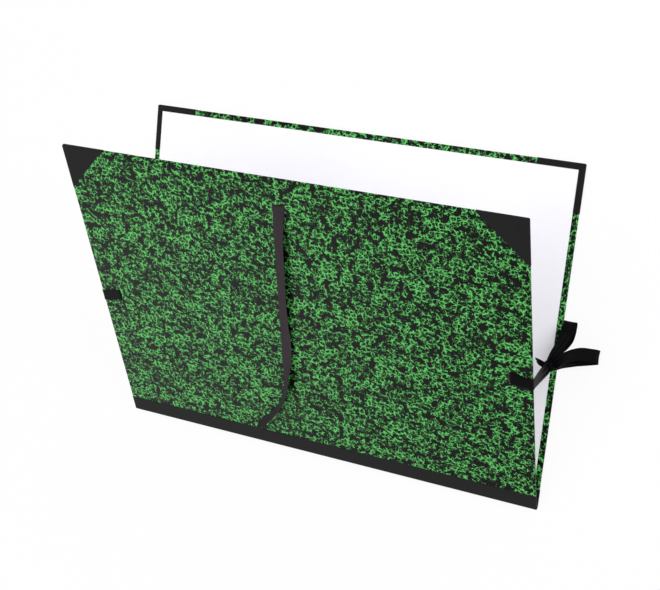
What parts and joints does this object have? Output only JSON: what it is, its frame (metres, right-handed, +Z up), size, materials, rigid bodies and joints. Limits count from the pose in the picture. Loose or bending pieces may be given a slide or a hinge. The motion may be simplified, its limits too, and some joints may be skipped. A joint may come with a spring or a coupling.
{
  "type": "art portfolio folder",
  "caption": "Landscape art portfolio folder: marbled-paper boards on a black cloth spine, with cloth corners, white linings and satin ribbon ties, some tied in a bow.",
  "frame": {"origin": "under the middle of the footprint, on the surface that the folder lies on", "axes": "+X along the spine to the right, +Y from the spine to the fore-edge, +Z up from the back cover"},
  "size_m": [0.4906, 0.324, 0.1535],
  "materials": {
    "greyboard": "matt grey-brown greyboard",
    "marbled_paper": "smooth coated paper with a green and black marbled pattern, slight sheen",
    "bookcloth": "black bookcloth, fine linen grain, matt",
    "white_lining": "matt white lining paper",
    "satin_ribbon": "black satin ribbon with soft highlights"
  },
  "bodies": {
    "back_cover": {"back_board": "greyboard", "back_cover_paper": "marbled_paper", "back_right_corner": "bookcloth", "back_left_corner": "bookcloth", "back_lining": "white_lining", "spine_cloth": "bookcloth", "hinge_strip": "bookcloth", "back_top_ribbon": "satin_ribbon", "back_left_ribbon": "satin_ribbon", "back_right_ribbon": "satin_ribbon"},
    "front_cover": {"front_board": "greyboard", "front_cover_paper": "marbled_paper", "front_right_corner": "bookcloth", "front_left_corner": "bookcloth", "front_lining": "white_lining", "front_top_ribbon": "satin_ribbon", "front_left_ribbon": "satin_ribbon", "front_right_ribbon": "satin_ribbon"}
  },
  "joints": [
    {"name": "cover_hinge", "type": "hinge", "parent": "back_cover", "child": "front_cover", "pos_m": [0, -0.15898, 0.00305], "axis": [1, 0, 0], "range_deg": [-27.4, 0], "deforming": ["spine_cloth", "hinge_strip", "front_left_ribbon", "front_right_ribbon", "back_right_ribbon"]}
  ]
}
